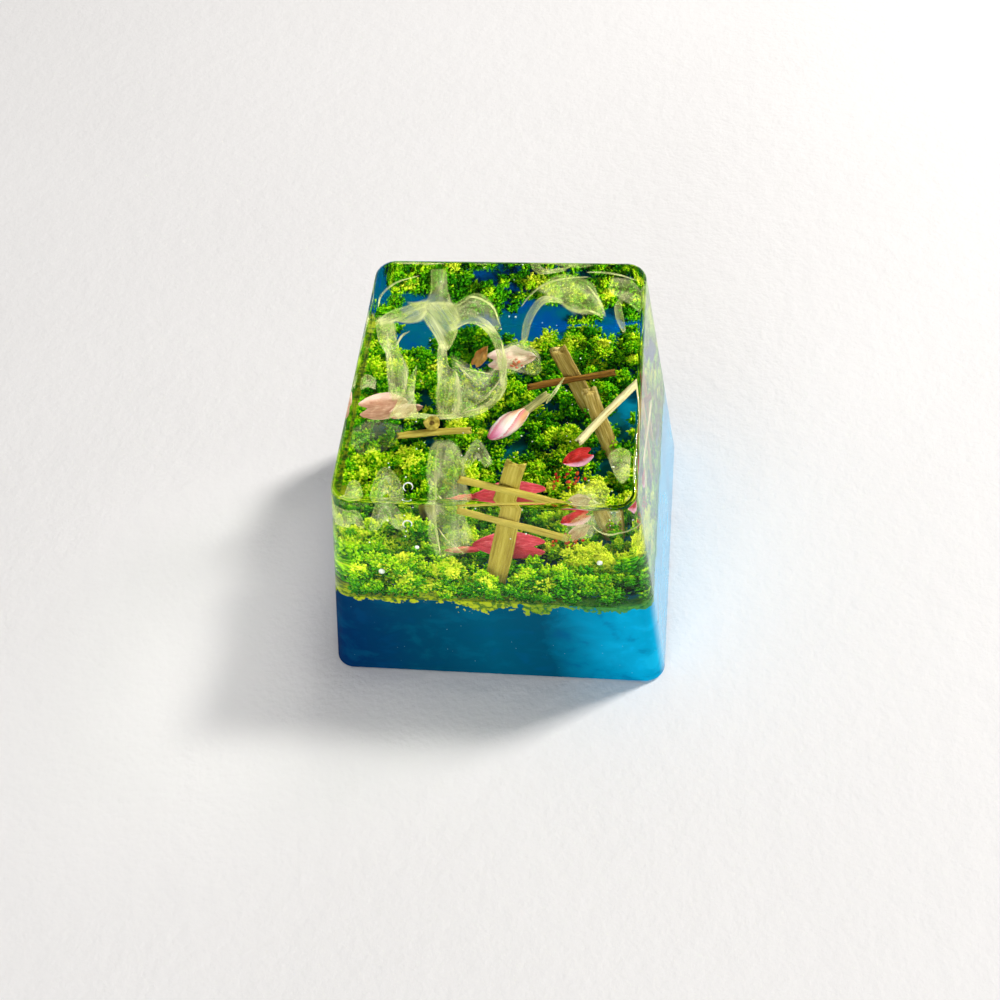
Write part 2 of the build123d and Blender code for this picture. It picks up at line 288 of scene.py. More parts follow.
def moss():
    """Dyed dried moss: each crumb has its own green, and the greens carry painted shade and light from where
    the crumb sits in its lump.
    """
    finish = Finish("moss")
    place = finish.place()
    mottle = finish.noise(place, 6.0, 4.0)
    tint = finish.mark("tint", "Color")
    darker = finish.blend(1.0, tint, (0.8, 0.84, 0.7), "MULTIPLY")
    lighter = finish.blend(1.0, tint, (1.2, 1.18, 1.1), "MULTIPLY")
    colour = finish.blend(mottle, darker, lighter)
    return finish.painted(base_color=colour, roughness=0.75 + 0.2 * mottle, specular_ior_level=0.0,
                          normal=finish.relief(mottle, 0.05))


def petal(name, heart, body, edge, side_tint_and_highlight):
    """A dried petal: veins run from its narrow end, and its rim is paler and crisp. One side takes its last
    colour: on some petals a real flush, on the scarlet and pink petals a painted glossy highlight."""
    finish = Finish(name)
    leaf = finish.mark("leaf")
    _, across, _ = finish.parts(leaf)
    veins = finish.noise(finish.stretch(leaf, (1.2, 9.0, 1.0)), 1.0, 4.0, 0.6)
    blotch = finish.noise(finish.stretch(leaf, (2.0, 2.0, 1.0)), 1.0, 3.0)
    colour = finish.ramp(0.5 * veins + 0.5 * blotch, (0.36, heart), (0.52, body), (0.68, edge))
    rim = finish.fade(across * across, 0.7, 1.0) * (0.3 + 0.6 * veins)
    paler = finish.blend(rim, colour, edge)
    # One side tinted: a real flush on some petals, a painted highlight on others
    side_tinted = finish.blend(finish.fade(across + 0.5 * (blotch - 0.5), 0.35, 0.75), paler, side_tint_and_highlight)
    return finish.painted(base_color=side_tinted, roughness=0.36 + 0.3 * veins, specular_ior_level=0.2,
                          coat_weight=0.15, normal=finish.relief(veins, 0.06))


def bud():
    """A closed bud: pink at its tip, creamy white along it, orange where the stem joins, and rosier where
    one of its petals dips under the next. Each petal's free edge is painted paler, as a highlight."""
    finish = Finish("bud")
    leaf = finish.mark("leaf")
    along, lap, _ = finish.parts(leaf)
    veins = finish.noise(finish.stretch(leaf, (1.4, 9.0, 1.0)), 1.0, 4.0, 0.6)
    colour = finish.ramp(
        along + 0.3 * (veins - 0.5),
        (0.0, (0.78, 0.07, 0.27)),
        (0.16, (0.9, 0.36, 0.55)),
        (0.36, (0.95, 0.8, 0.76)),
        (0.58, (0.93, 0.72, 0.56)),
        (0.8, (0.72, 0.34, 0.14)),
        (1.0, (0.5, 0.3, 0.1)),
    )
    rosy = finish.blend(finish.fade(lap + 0.3 * (veins - 0.5), 0.45, 0.05) * 0.7, colour, (0.78, 0.12, 0.2))
    # Painted highlight: each petal's free edge paler
    edge_painted_highlight = finish.blend(finish.fade(lap, 0.72, 0.95) * 0.7, rosy, (0.98, 0.9, 0.88))
    return finish.painted(base_color=edge_painted_highlight, roughness=0.3 + 0.3 * veins, coat_weight=0.4,
                          normal=finish.relief(veins, 0.08))


def bud_stem():
    """A cut green-tan stem with fine ribs along it."""
    finish = Finish("bud_stem")
    grain = finish.mark("grain")
    ribs = finish.noise(finish.stretch(grain, (10.0, 10.0, 0.7)), 1.0, 3.0)
    colour = finish.ramp(
        ribs,
        (0.35, (0.12, 0.14, 0.03)),
        (0.52, (0.3, 0.29, 0.08)),
        (0.7, (0.5, 0.45, 0.18)),
    )
    return finish.painted(base_color=colour, roughness=0.5 + 0.3 * ribs, normal=finish.relief(ribs, 0.05))


def white_veil():
    """Cloudy white resin, thin as film: milky in its folds, faintly streaked along its flow, brightest at
    its rims. The film mark holds how far a point is from the film's middle, 1 at its edge, and the film's
    density."""
    finish = Finish("white_veil")
    wisp = finish.mark("wisp")
    reach, density, _ = finish.parts(finish.mark("film"))
    clouds = finish.noise(finish.stretch(wisp, (0.5, 1.0, 1.0)), 1.0, 2.0, 0.5, 0.5)
    flow = finish.noise(finish.stretch(wisp, (0.2, 1.6, 1.0)), 1.0, 2.0, 0.5, 0.6)
    folds = finish.fade(abs(flow - 0.5), 0.07, 0.0)
    ragged = reach + 0.8 * (clouds - 0.5)
    sheer = finish.fade(ragged, 1.0, 0.72)
    rim = finish.fade(ragged, 0.6, 0.84)
    body = 0.2 + 0.22 * finish.fade(clouds, 0.38, 0.66) + 0.22 * folds + 0.26 * rim
    colour = finish.blend(finish.fade(clouds, 0.3, 0.7), (0.62, 0.71, 0.2), (0.93, 0.93, 0.5))
    return finish.painted(base_color=colour, roughness=0.6, specular_ior_level=0.0,
                          alpha=sheer * body * density)


def bubble():
    """A trapped bubble, painted as a pale bead: its white stands in for the bubble's glints, a painted
    highlight.
    """
    finish = Finish("bubble")
    place = finish.place()
    cloud = finish.noise(place, 4.0, 2.0)
    colour = finish.blend(cloud, (0.72, 0.78, 0.7), (0.95, 0.96, 0.9))
    return finish.painted(base_color=colour, roughness=0.1 + 0.1 * cloud, coat_weight=1.0)


def pale_floor():
    """Matt white paper with a faint tooth."""
    finish = Finish("pale_floor")
    place = finish.place()
    tooth = finish.noise(place, 0.8, 5.0) + 0.4 * finish.noise(place, 3.0, 3.0)
    colour = finish.blend(finish.noise(place, 0.05, 3.0), (0.84, 0.83, 0.83), (0.9, 0.89, 0.89))
    return finish.painted(base_color=colour, roughness=0.9, normal=finish.relief(tooth, 0.07))


def round_turn(count):
    """So many angles, evenly spaced round a full turn."""
    return np.linspace(0, FULL_TURN, count, endpoint=False)


def joined(*numbers):
    """Arrays of numbers, spread to one shape and joined into vectors."""
    return np.stack(np.broadcast_arrays(*numbers), axis=-1)


def own_node(name):
    """The CAD node of this name, where the frame has one, for a piece to replace."""
    return [name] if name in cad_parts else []


def lay(name, points, face_sets, finish, slot, replaced=(), normals=None, **marks):
    """Puts points and faces into a mesh. Each face set is an array with one row of point numbers per face.
    Each mark is an array with one vector or colour per point, kept as an attribute of that name."""
    mesh = bpy.data.meshes.new(name)
    points = points.reshape(-1, 3)
    corners = np.concatenate([faces.ravel() for faces in face_sets])
    sizes = np.concatenate([np.full(len(faces), faces.shape[1]) for faces in face_sets])
    mesh.vertices.add(len(points))
    mesh.vertices.foreach_set("co", (points * MM).astype(np.float32).ravel())
    mesh.loops.add(len(corners))
    mesh.loops.foreach_set("vertex_index", corners.astype(np.int32))
    mesh.polygons.add(len(sizes))
    mesh.polygons.foreach_set("loop_start", (np.cumsum(sizes) - sizes).astype(np.int32))
    mesh.polygons.foreach_set("use_smooth", np.ones(len(sizes), dtype=bool))
    mesh.update(calc_edges=True)
    for mark, values in marks.items():
        kind, field = ("FLOAT_COLOR", "color") if values.shape[-1] == 4 else ("FLOAT_VECTOR", "vector")
        attribute = mesh.attributes.new(mark, kind, "POINT")
        attribute.data.foreach_set(field, values.astype(np.float32).ravel())
    if normals is not None:
        mesh.normals_split_custom_set_from_vertices(normals)
    mesh.materials.append(finish)
    piece = bpy.data.objects.new(name, mesh)
    bpy.context.scene.collection.objects.link(piece)
    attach(piece, "root")
    if replaced:
        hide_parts(*replaced)


def tube_faces(rows, around):
    """Quads round a stack of closed rings, and one many-sided face at each end."""
    row = np.arange(rows - 1)[:, None] * around
    here = np.arange(around)
    there = np.roll(here, -1)
    quads = np.stack([row + here, row + there, row + around + there, row + around + here], axis=-1)
    first = here[::-1][None]
    last = (rows - 1) * around + here[None]
    return quads.reshape(-1, 4), first, last


def strip_ended_tube_faces(rows, around):
    """Quads round a stack of flat closed rings, with each end closed by quads from one edge to the
    other."""
    quads, _, _ = tube_faces(rows, around)
    step = np.arange(around // 2)
    far = (around - step) % around
    near = around - step - 1
    strip = np.stack([step, far, near, step + 1], axis=-1)
    triangle = strip[:1, [0, 2, 3]]
    inner = strip[1:-1]
    tail = strip[-1:, [0, 1, 2]]
    lift = (rows - 1) * around
    ends = [triangle, inner, tail, triangle[:, ::-1] + lift, inner[:, ::-1] + lift, tail[:, ::-1] + lift]
    return [quads, *ends]


def curve_through(points, count):
    """A smooth path through the points: a cubic between each two that leaves and arrives along the line
    joining their neighbours, worked out for all the samples at once."""
    held = np.asarray(points, float)
    held = np.concatenate([[2 * held[0] - held[1]], held, [2 * held[-1] - held[-2]]])
    spot = np.linspace(0, len(points) - 1, count)
    start = np.minimum(spot.astype(int), len(points) - 2)
    way = (spot - start)[:, None]
    before, here, there, after = (held[start + step] for step in range(4))
    slope = there - before
    bend = 2 * before - 5 * here + 4 * there - after
    twist = 3 * here - before - 3 * there + after
    return 0.5 * (2 * here + slope * way + bend * way**2 + twist * way**3)


def unit(vectors):
    """Vectors of length one that point the same way."""
    return vectors / np.linalg.norm(vectors, axis=-1, keepdims=True)


def pointing(bearing, rise):
    """The vector of length one at a bearing from +X and a rise above the level, both in degrees."""
    bearing, rise = np.radians([bearing, rise])
    return np.array([np.cos(rise) * np.cos(bearing), np.cos(rise) * np.sin(bearing), np.sin(rise)])


def clear_block():
    """The clear body. Its outline is a rectangle with round corners whose sides lean in as they rise. Each
    point of the outline goes straight up its wall, then round the top edge on a circular arc written as a
    weighted quadratic curve, and ends in the sloping top, which one flat face closes. Its foot is sunk a
    hair into the blue base."""
    steps, wall_rows, arc_rows = 10, 3, 9
    sink, seam_rise = 0.02, 0.03
    turn = np.linspace(0, FULL_TURN / 4, steps + 1)
    angle = np.concatenate([turn + quarter * FULL_TURN / 4 for quarter in range(4)])
    out = np.stack([np.cos(angle), np.sin(angle)], axis=1)
    right = np.repeat([1, -1, -1, 1], steps + 1)
    back = np.repeat([1, 1, -1, -1], steps + 1)
    foot = np.stack([right * (RIM - CORNER), back * (RIM - CORNER)], axis=1) + CORNER * out
    lean = np.stack([-right * SIDE_SLOPE, np.where(back > 0, -BACK_SLOPE, FRONT_SLOPE)], axis=1)
    flat = np.zeros((len(angle), 1))
    wall = np.concatenate([lean, flat + 1], axis=1)
    foot = np.concatenate([foot, flat], axis=1)
    top_level = BACK_HEIGHT - TOP_SLOPE * CROWN_BACK
    rise = (top_level + TOP_SLOPE * foot[:, 1]) / (1 - TOP_SLOPE * lean[:, 1])
    edge = foot + wall * rise[:, None]
    up_wall = unit(wall)
    inward = unit(np.stack([-out[:, 0], -out[:, 1], -TOP_SLOPE * out[:, 1]], axis=1))
    half = np.arccos(np.clip((-up_wall * inward).sum(axis=1), -1, 1))[:, None] / 2
    reach = TOP_EDGE / np.tan(half)
    low, high, weight = edge - up_wall * reach, edge + inward * reach, np.sin(half)
    bow = np.linspace(0, 1, arc_rows)[:, None, None]
    shares = (1 - bow) ** 2, 2 * bow * (1 - bow) * weight, bow**2
    arc = (shares[0] * low + shares[1] * edge + shares[2] * high) / sum(shares)
    sunk = foot + wall * (BED - sink) - np.concatenate([sink * out, flat], axis=1)
    down = np.linspace(1, 0, wall_rows + 1)[:-1, None, None]
    walls = low + (foot + wall * (BED + seam_rise) - low) * down
    rings = np.concatenate([sunk[None], walls, arc])
    side = np.stack([out[:, 0], out[:, 1], -(lean * out).sum(axis=1)], axis=1)
    top = np.array([0, -TOP_SLOPE, 1])
    sweep = bow * (np.pi - 2 * half)
    side, top = unit(side), unit(top)
    across = unit(top - side * (side @ top)[:, None])
    round_edge = np.cos(sweep) * side + np.sin(sweep) * across
    normals = np.concatenate([np.repeat(side[None], 1 + wall_rows, axis=0), round_edge]).reshape(-1, 3)
    faces = tube_faces(len(rings), len(angle))
    lay("clear_body_polished", rings, faces, clear_resin(), "clear_resin", ["clear_body"], normals)


def split_stick(name, start, end, face, width, thickness, finish, slot, bow=0.06):
    """A split of wood. Its profile is a rounded oblong with fibre ridges, sines of the angle round it. It
    is carried along a slightly bowed line from start to end. Both ends are torn by moving them with the
    ridges, and closed by rings that shrink to the pith. A stick about as thick as wide is a round twig,
    with its pith in the middle."""
    rows, around = 34, 40
    ridge, wave, tear = 0.16, 0.05, 0.16
    twig = width <= 1.2 * thickness
    caps = np.array([0.06, 0.5])
    shrink = np.concatenate([caps, np.ones(rows), caps[::-1]])[:, None]
    start, end = np.asarray(start, float), np.asarray(end, float)
    along = unit(end - start)
    face = unit(face - along * (face @ along))
    side = np.cross(face, along)
    length = np.linalg.norm(end - start)
    angle = round_turn(around)
    run = np.concatenate([0 * caps, np.linspace(0, 1, rows), 0 * caps + 1])[:, None]
    phases = chance.uniform(0, FULL_TURN, (6, 1, 1))
    counts = np.array([3, 5, 8, 11, 14, 17])[:, None, None]
    drift = chance.uniform(-3, 3, (6, 1, 1))
    ridges = (np.sin(counts * angle + phases + drift * run) / counts).sum(axis=0)
    swell = 1 + ridge * ridges + wave * np.sin(FULL_TURN * (1.3 * run + chance.uniform()))
    power = 1.0 if twig else 0.55
    across = width / 2 * np.sign(np.cos(angle)) * np.abs(np.cos(angle)) ** power * swell * shrink
    deep = thickness / 2 * np.sign(np.sin(angle)) * np.abs(np.sin(angle)) ** power * swell * shrink
    torn = tear * width * (ridges[-1] + np.sin(3 * angle + phases[0, 0])) * shrink
    travel = run * length + (run**12 - (1 - run) ** 12) * torn
    middle = bow * np.sin(np.pi * run)
    spots = start + travel[..., None] * along + across[..., None] * side + (deep + middle)[..., None] * face
    off_pith = 0 if twig else 2
    grain = joined(across + off_pith, deep, travel + 10 * chance.uniform())
    lay(name + "_split", spots, tube_faces(len(run), around), finish, slot, [name], grain=grain)


def stick_cross(name, foot, lean, turn, section, stake_length, bar_length, bar_height, bar_shift, bar_tilt,
                stake_finish, bar_finish, slot):
    """A stake that leans as it rises from just below the bed, and a bar across its front."""
    upward = unit(np.array([*np.tan(np.radians(lean)), 1.0]))
    level = np.array([np.cos(np.radians(turn)), np.sin(np.radians(turn)), 0.0])
    bar_way = unit(level - upward * (level @ upward))
    front = np.cross(upward, bar_way)
    low = np.array([*foot, BED])
    split_stick(name + "_stake", low - PLANT_DEPTH * upward, low + stake_length * upward, front, *section,
                stake_finish, slot)
    tilt = np.radians(bar_tilt)
    along = np.cos(tilt) * bar_way + np.sin(tilt) * upward
    middle = low + bar_shift * bar_way - (section[1] + BAR[1]) / 2 * front + bar_height * upward
    split_stick(name + "_bar", middle - along * bar_length / 2, middle + along * bar_length / 2, front, *BAR,
                bar_finish, slot)


def turned(roll, pitch, turn):
    """The turns about X, Y and Z, one after another, each about the piece's own axis."""
    angles = np.radians([roll, pitch, turn])
    (cos_x, cos_y, cos_z), (sin_x, sin_y, sin_z) = np.cos(angles), np.sin(angles)
    about_x = np.array([[1, 0, 0], [0, cos_x, -sin_x], [0, sin_x, cos_x]])
    about_y = np.array([[cos_y, 0, sin_y], [0, 1, 0], [-sin_y, 0, cos_y]])
    about_z = np.array([[cos_z, -sin_z, 0], [sin_z, cos_z, 0], [0, 0, 1]])
    return about_x @ about_y @ about_z


def curled_petal(name, middle, turn, pitch, roll, length, width, notch, finish, slot, ruffle=1.0):
    """A petal. Along it, its half width swells from the broad cleft end and shrinks to a thin tip. Across
    it, a thin closed profile curls on a circle and ripples, and near the cleft its start is drawn back by a
    bell curve."""
    rows, around = 40, 48
    curl_radius, half_thickness = 2.4, 0.07
    angle = round_turn(around)
    run = np.linspace(0, 1, rows)[:, None]
    half = width / 2 * (0.62 + 1.25 * run - 0.75 * run**2) * (1 - run**2.2) ** 0.75 + 0.02
    half = half * (1 + 0.05 * (ruffle - 1) * np.sin(13 * run + 1))
    across = half * np.cos(angle)
    begin = notch * np.exp(-((np.cos(angle) / 0.3) ** 2)) + 0.22 * width * np.cos(angle) ** 4
    spot = -length / 2 + begin * (1 - run) ** 1.5 + length * run
    long_ripple = 0.07 * np.sin(5 * run + 3 * np.cos(angle))
    short_ripple = 0.04 * np.sin(11 * run - 5 * np.cos(angle))
    ripple = ruffle * (long_ripple + short_ripple)
    curl = np.sqrt(np.maximum(curl_radius**2 - across**2, 0)) - curl_radius
    thick = half_thickness * np.sin(angle) * (0.3 + 0.7 * np.sin(np.pi * run) ** 0.5)
    local = joined(spot, across, curl + ripple * run**0.5 + thick)
    spots = local @ turned(roll, -pitch, turn).T + np.array([middle[0], middle[1], BED + middle[2]])
    leaf = joined(run * length, np.cos(angle), 0)
    faces = strip_ended_tube_faces(rows, around)
    lay(name + "_dried", spots, faces, finish, slot, own_node(name), leaf=leaf)


def closed_bud(tip, turn, pitch):
    """A bud and its stem, each a round profile carried along a line. The bud's radius swells and shrinks as
    a sine of the way along. Petals wind round it, and across each the radius grows to its free edge, then
    drops."""
    rows, around = 48, 72
    length, widest, petals, wind = 2.6, 0.6, 4, 1.1
    stem_start, stem_end, stem_section = 2.5, 4.2, (0.5, 0.46)
    along = pointing(turn, pitch)
    side = unit(np.cross([0, 0, 1.0], along))
    up = np.cross(along, side)
    start = np.array([tip[0], tip[1], BED + tip[2]])
    angle = round_turn(around)
    run = np.linspace(0, 1, rows)[:, None]
    round_it = np.cos(angle)[:, None] * side + np.sin(angle)[:, None] * up
    lap = np.mod(petals * angle / FULL_TURN + wind * run, 1)
    radius = widest * np.sin(np.pi * (0.03 + 0.88 * run**0.85)) ** 0.65 * (0.82 + 0.2 * lap)
    spots = start + length * run[..., None] * along + radius[..., None] * round_it
    leaf = joined(run, lap, 0)
    lay("flower_bud_folded", spots, tube_faces(rows, around), bud(), "bud", ["flower_bud"], leaf=leaf)
    split_stick("bud_stem", start + stem_start * along, start + stem_end * along, up, *stem_section,
                bud_stem(), "bud_stem", 0.03)


def crumbs(spots, sizes):
    """Many small closed crumbs: each is two rings of five points, the lower turned by a tenth of a circle,
    between two poles, then stretched by three chances and turned by a random turn. Gives points and
    triangles."""
    ring = np.arange(5) * FULL_TURN / 5
    level, reach = 1 / np.sqrt(5), 2 / np.sqrt(5)
    upper = joined(reach * np.cos(ring), reach * np.sin(ring), level)
    lower = joined(reach * np.cos(ring + np.pi / 5), reach * np.sin(ring + np.pi / 5), -level)
    crumb = np.concatenate([[[0, 0, 1.0]], upper, lower, [[0, 0, -1.0]]])
    here, there = np.arange(5), np.roll(np.arange(5), -1)
    faces = np.concatenate([
        np.stack([0 * here, 1 + here, 1 + there], axis=1),
        np.stack([1 + here, 6 + here, 1 + there], axis=1),
        np.stack([1 + there, 6 + here, 6 + there], axis=1),
        np.stack([6 + here, 0 * here + 11, 6 + there], axis=1),
    ])
    count = len(spots)
    spin, _ = np.linalg.qr(chance.normal(size=(count, 3, 3)))
    spin *= np.sign(np.linalg.det(spin))[:, None, None]
    stretch = sizes[:, None, None] * chance.uniform(0.65, 1.3, (count, 1, 3))
    uneven = chance.uniform(0.75, 1.2, (count, 12, 1))
    points = spots[:, None] + (crumb * uneven * stretch) @ spin
    triangles = faces[None] + 12 * np.arange(count)[:, None, None]
    return points.reshape(-1, 3), triangles.reshape(-1, 3)


def inside_walls(spots, skin):
    """Spots drawn in to stay a skin's width inside the leaning walls and their round corners, and above the
    bed."""
    level = spots[:, 2]
    slopes = np.where(spots[:, 1] < 0, FRONT_SLOPE, BACK_SLOPE)
    limits = np.stack([RIM - SIDE_SLOPE * level - skin, RIM - slopes * level - skin], axis=1)
    off = np.minimum(np.abs(spots[:, :2]), limits)
    past = np.maximum(off - (limits - CORNER), 0)
    far = np.maximum(np.linalg.norm(past, axis=1, keepdims=True), CORNER)
    off = off - past * (1 - CORNER / far)
    return np.concatenate([np.sign(spots[:, :2]) * off, np.maximum(level, BED)[:, None]], axis=1)


def sprigs(spots, ways, sizes, lengths):
    """Many small closed sprigs: each is a ring of four points between an outer and an inner pole, drawn out
    along its own way, turned about it by chance and made uneven. Gives points and triangles."""
    sprig = np.array([[0, 0, 1.0], [1, 0, 0], [0, 1, 0], [-1, 0, 0], [0, -1, 0], [0, 0, -1]])
    here, there = np.arange(1, 5), np.roll(np.arange(1, 5), -1)
    outer, inner = np.zeros(4, int), np.full(4, 5)
    faces = np.concatenate([np.stack([outer, here, there], axis=1), np.stack([inner, there, here], axis=1)])
    count = len(spots)
    aside = unit(np.cross(ways, chance.normal(size=(count, 3))))
    axes = np.stack([aside, np.cross(ways, aside), ways], axis=1)
    broad = sizes[:, None] * chance.uniform(0.7, 1.3, (count, 2))
    stretch = np.concatenate([broad, lengths[:, None]], axis=1)[:, None]
    uneven = chance.uniform(0.75, 1.25, (count, 6, 1))
    points = spots[:, None] + (sprig * uneven * stretch) @ axes
    triangles = faces[None] + 6 * np.arange(count)[:, None, None]
    return points.reshape(-1, 3), triangles.reshape(-1, 3)


def moss_tints(readings):
    """Greens from dark, through mid green and lime, to yellow."""
    stops = np.array([0.0, 0.25, 0.5, 0.75, 1.0, 1.25])
    greens = np.array([[0.007, 0.11, 0.002], [0.02, 0.235, 0.003], [0.06, 0.38, 0.003], [0.21, 0.6, 0.004],
                       [0.5, 0.78, 0.006], [0.8, 0.9, 0.05]])
    return np.stack([np.interp(readings, stops, greens[:, channel]) for channel in range(3)], axis=-1)


def coated(hearts, balls, each, tones):
    """Moss lumps: each is a core coated with sprigs that stand at random bearings and depths about it, and
    point outwards. Shade and light are painted into their colours: lower sprigs and the core are darker, as
    shade, and a sprig is paler at its outer end, as light, and darker at its root, as shade. A sprig's skin
    is its reach towards the wall and a little more. Gives points, triangles and the points' colours."""
    # Painted light at a sprig's outer end and painted shade at its root
    core_share, painted_light_end, painted_shade_root = 0.62, 0.14, -0.22
    mostly_up = [0, 0, 0.35]
    lumps = len(hearts)
    ways = unit(chance.normal(size=(lumps, each, 3)) + mostly_up)
    reach = balls[:, None] * chance.uniform(0.45, 1.3, (lumps, each))
    sizes = chance.uniform(0.045, 0.1, lumps * each)
    lengths = sizes * chance.uniform(1.0, 2.4, lumps * each)
    aside = np.abs(ways[..., :2]).max(axis=2).ravel()
    skins = 0.03 + 1.3 * np.maximum(lengths * aside, 1.3 * sizes) + chance.uniform(0, 0.12, lumps * each)
    hearts = inside_walls(hearts, 0.8 * balls + 0.04)
    spots = inside_walls((hearts[:, None] + ways * reach[..., None]).reshape(-1, 3), skins)
    low = np.repeat(hearts[:, 2] - balls, each)
    height = np.clip((spots[:, 2] - low) / np.repeat(2 * balls, each), 0, 1)
    # Painted shade: lower sprigs darker, by their height in the lump
    coat = np.repeat(tones, each) + 0.8 * height - 0.52 + chance.normal(0, 0.11, lumps * each)
    # Painted shade: the core darker, as the inside of the lump
    core = 0.05 + 0.4 * tones
    ends = np.array([painted_light_end, 0, 0, 0, 0, painted_shade_root])
    readings = np.concatenate([core, coat])[:, None] + ends
    upward = np.broadcast_to([0.0, 0.0, 1.0], (lumps, 3))
    middles = np.concatenate([hearts, spots])
    bearings = np.concatenate([upward, ways.reshape(-1, 3)])
    widths = np.concatenate([core_share * balls, sizes])
    lengths = np.concatenate([core_share * balls, lengths])
    points, triangles = sprigs(middles, bearings, widths, lengths)
    colours = np.concatenate([moss_tints(readings), np.ones((*readings.shape, 1))], axis=-1)
    return points, triangles, colours


def moss_clump(name, middle, radius, height, tone, finish):
    """A clump of crumbly moss: lumps scattered at random bearings under a dome, whose height falls as the
    square root of one less the squared way from its middle to a little past its rim."""
    lumps = int(6 + 5 * radius * height)
    spread, dome_reach = radius * 1.02, radius * 1.2
    bearing = chance.uniform(0, FULL_TURN, lumps)
    away = spread * np.sqrt(chance.uniform(0, 1, lumps))
    dome = height * np.sqrt(np.maximum(1 - (away / dome_reach) ** 2, 0.05))
    balls = chance.uniform(0.26, 0.52, lumps)
    lift = np.maximum(dome * chance.uniform(0.25, 1.0, lumps) - balls, 0.1)
    hearts = joined(middle[0] + away * np.cos(bearing), middle[1] + away * np.sin(bearing), BED + lift)
    tones = tone + chance.normal(0, 0.24, lumps)
    points, triangles, tints = coated(hearts, balls, CLUMP_SPRIGS, tones)
    lay(name + "_crumbs", points, [triangles], finish, "moss", [name], tint=tints)


def moss_carpet(finish):
    """Low moss between the clumps: lumps on a shaken grid over the bed and in a row along the walls, left
    out where the blue shows through. Its tone at a spot is the mean of the clumps' tones, weighted by one
    over the distance to the fourth power, and a little darker, as painted shade down between the clumps.
    It is laid in four quarters."""
    grid_start, grid_end, grid_step, shake = -7.8, 8.0, 0.68, 0.3
    wall_reach, wall_lumps, past_corners = 8.3, 130, 14
    kept_share, darker = 0.86, 0.24
    line = np.arange(grid_start, grid_end, grid_step)
    grid = np.stack(np.meshgrid(line, line), axis=-1).reshape(-1, 2)
    bearing = round_turn(wall_lumps)
    circle = past_corners * joined(np.cos(bearing), np.sin(bearing))
    wall_row = np.clip(circle, -wall_reach, wall_reach)
    grid = np.concatenate([grid, wall_row])
    grid = grid + chance.uniform(-shake, shake, grid.shape)
    middles, radii = np.split(np.array(BARE), 2, axis=1)
    off = (((grid[:, None] - middles) / radii) ** 2).sum(axis=2).min(axis=1)
    grid = grid[(off > chance.uniform(0.8, 1.2, len(grid))) & (chance.uniform(0, 1, len(grid)) < kept_share)]
    clump_spots = np.array([middle for middle, _, _, _ in CLUMPS])
    clump_tones = np.array([tone for _, _, _, tone in CLUMPS])
    near = 1 / (((grid[:, None] - clump_spots) ** 2).sum(axis=2) + 0.05) ** 2
    mean_tones = (near * clump_tones).sum(axis=1) / near.sum(axis=1)
    # Painted shade: the low carpet a little darker than the clumps about it
    tones = mean_tones - darker + chance.normal(0, 0.17, len(grid))
    balls = chance.uniform(0.28, 0.46, len(grid))
    lift = chance.uniform(0.0, 0.75, len(grid))
    hearts = np.concatenate([grid, BED + lift[:, None]], axis=1)
    left, front = (grid < 0).T
    for name, held in (
        ("front_left", left & front),
        ("front_right", ~left & front),
        ("back_left", left & ~front),
        ("back_right", ~left & ~front),
    ):
        points, triangles, tints = coated(hearts[held], balls[held], CARPET_SPRIGS, tones[held])
        lay("moss_carpet_" + name, points, [triangles], finish, "moss", tint=tints)


def veil(name, films, hairs, finish):
    """A veil of thin films and hairlines. A film is ruled from one smooth edge to the other and rippled by
    a sine of the way along and across it. A hairline is a narrow film to both sides of one smooth path.
    Both are widened past their edges by a fifth of their width, and films drawn out past their ends by a
    fifth of the last step, so that the finish can fade there. Each is closed: its profile goes across, and
    comes back a hair's breadth below."""
    rows, around = 40, 20
    margin, half_thickness, skin = 0.2, 0.015, 0.25
    angle = round_turn(around)
    share = (1 - np.cos(angle)) / 2
    run = np.linspace(0, 1, rows)[:, None]
    edges = []
    for first, second, density in films:
        both = np.array([first, second])
        both[:, 0] += margin * (both[:, 0] - both[:, 1])
        both[:, -1] += margin * (both[:, -1] - both[:, -2])
        edges.append((curve_through(both[0], rows), curve_through(both[1], rows), density))
    for route, half_width, density in hairs:
        path = curve_through(route, rows)
        level = unit(np.cross([0, 0, 1.0], np.gradient(path, axis=0)))
        aside = half_width * (0.3 + 0.7 * np.sin(np.pi * run)) * level
        edges.append((path + aside, path - aside, density))
    points, wisps, reaches, face_sets = [], [], [], []
    for number, (first, second, density) in enumerate(edges):
        wider = 1 + margin
        first, second = wider * first - margin * second, wider * second - margin * first
        broad = second - first
        way = np.gradient(first + second, axis=0) / 2
        through = unit(np.cross(broad, way))
        width = np.linalg.norm(broad, axis=1)[:, None]
        ripple = 0.05 * width * np.sin(9 * run + 5 * share + number)
        deep = half_thickness * np.sin(angle) + ripple
        spots = first[:, None] + share[:, None] * broad[:, None] + deep[..., None] * through[:, None]
        length = np.linalg.norm(way, axis=1).sum()
        reach = (np.cos(angle) ** 4 + (2 * run - 1) ** 8) ** 0.25
        points.append(inside_walls(spots.reshape(-1, 3), skin))
        wisps.append(joined(run * length, width * share, 5.0 * number))
        reaches.append(joined(reach, density, 0.0))
        face_sets.extend(faces + number * rows * around for faces in strip_ended_tube_faces(rows, around))
    lay(name + "_wisps", np.concatenate(points), face_sets, finish, "white_veil", own_node(name),
        wisp=np.concatenate(wisps), film=np.concatenate(reaches))


